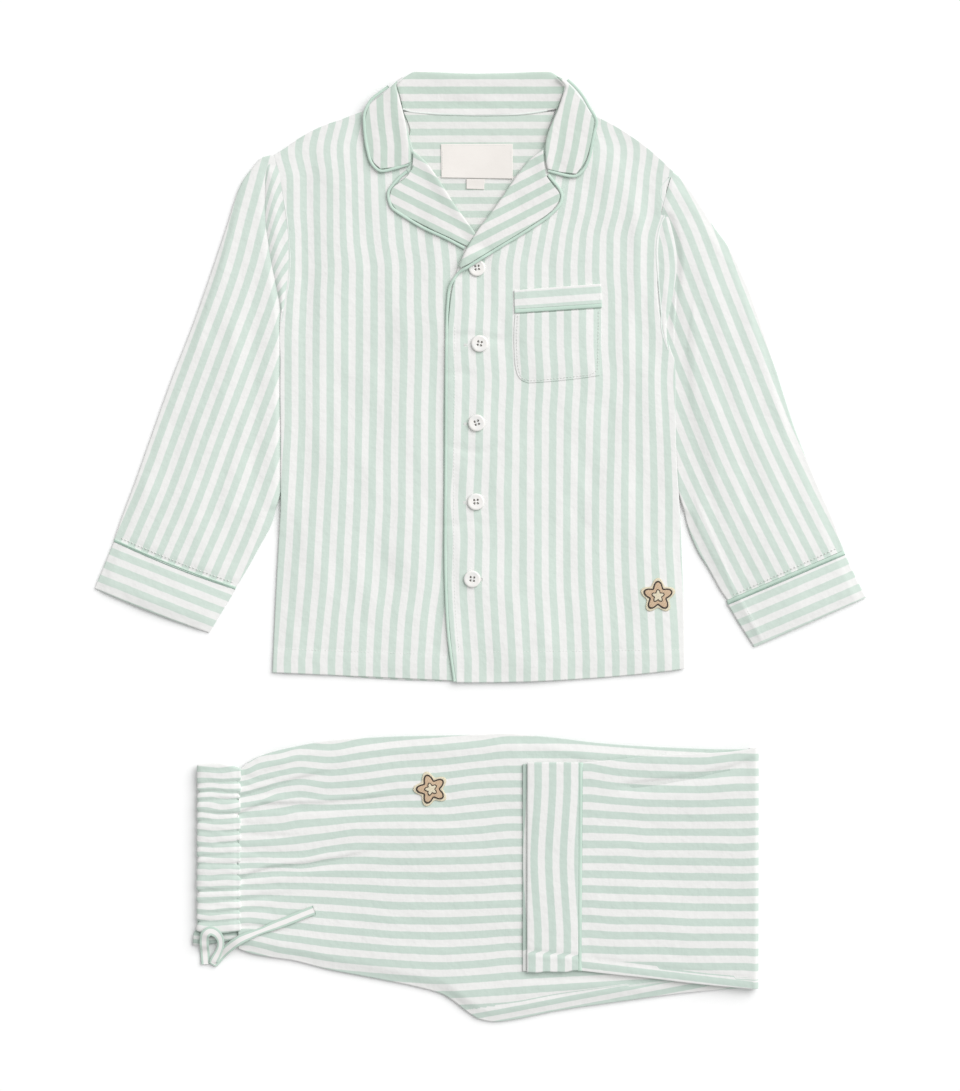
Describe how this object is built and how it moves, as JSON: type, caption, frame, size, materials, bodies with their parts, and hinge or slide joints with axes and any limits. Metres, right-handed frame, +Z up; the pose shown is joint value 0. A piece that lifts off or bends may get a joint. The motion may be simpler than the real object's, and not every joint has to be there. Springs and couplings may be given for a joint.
{
  "type": "child's pyjama set",
  "caption": "Striped long-sleeved pyjama shirt with notched collar, and matching trousers folded in half, laid flat.",
  "frame": {"origin": "middle of the footprint, on the surface that the set lies on", "axes": "+X across the shirt, towards the side with the pocket; +Y from the trousers up to the collar; +Z up out of the surface, towards the side that shows"},
  "size_m": [0.5868, 0.7228, 0.0093],
  "materials": {
    "shirt_cloth": "soft matt woven cloth with even mint and white stripes",
    "trouser_cloth": "soft matt woven cloth with even mint and white stripes",
    "piping": "plain mint piping",
    "label_cloth": "plain cream satin weave",
    "button_shell": "polished pearl white",
    "patch_felt": "tan embroidery with a dark outline on a cream ground"
  },
  "bodies": {
    "root": {"shirt_back": "shirt_cloth", "shirt_front_right": "shirt_cloth", "shirt_front_left": "shirt_cloth", "neck_facing": "shirt_cloth", "collar_back": "shirt_cloth", "collar_wing_left": "shirt_cloth", "collar_wing_right": "shirt_cloth", "lapel_left": "shirt_cloth", "lapel_right": "shirt_cloth", "pocket": "shirt_cloth", "pocket_band": "shirt_cloth", "sleeve_left": "shirt_cloth", "sleeve_right": "shirt_cloth", "cuff_left": "shirt_cloth", "cuff_right": "shirt_cloth", "trousers_hidden_layers": "trouser_cloth", "leg_left_upper": "trouser_cloth", "lower_legs_hidden_layers": "trouser_cloth", "leg_right_lower": "trouser_cloth", "trouser_cuff_under": "trouser_cloth", "trouser_cuff_upper": "trouser_cloth", "waistband_under": "trouser_cloth", "waistband": "trouser_cloth", "drawstring": "trouser_cloth", "piping_wing_left": "piping", "piping_wing_right": "piping", "piping_lapel_left": "piping", "piping_placket": "piping", "pocket_piping": "piping", "piping_cuff_left": "piping", "piping_cuff_right": "piping", "piping_leg": "piping", "neck_label": "label_cloth", "size_tab": "label_cloth", "button_1": "button_shell", "button_2": "button_shell", "button_3": "button_shell", "button_4": "button_shell", "button_5": "button_shell", "patch_shirt": "patch_felt", "patch_trousers": "patch_felt"}
  },
  "joints": []
}
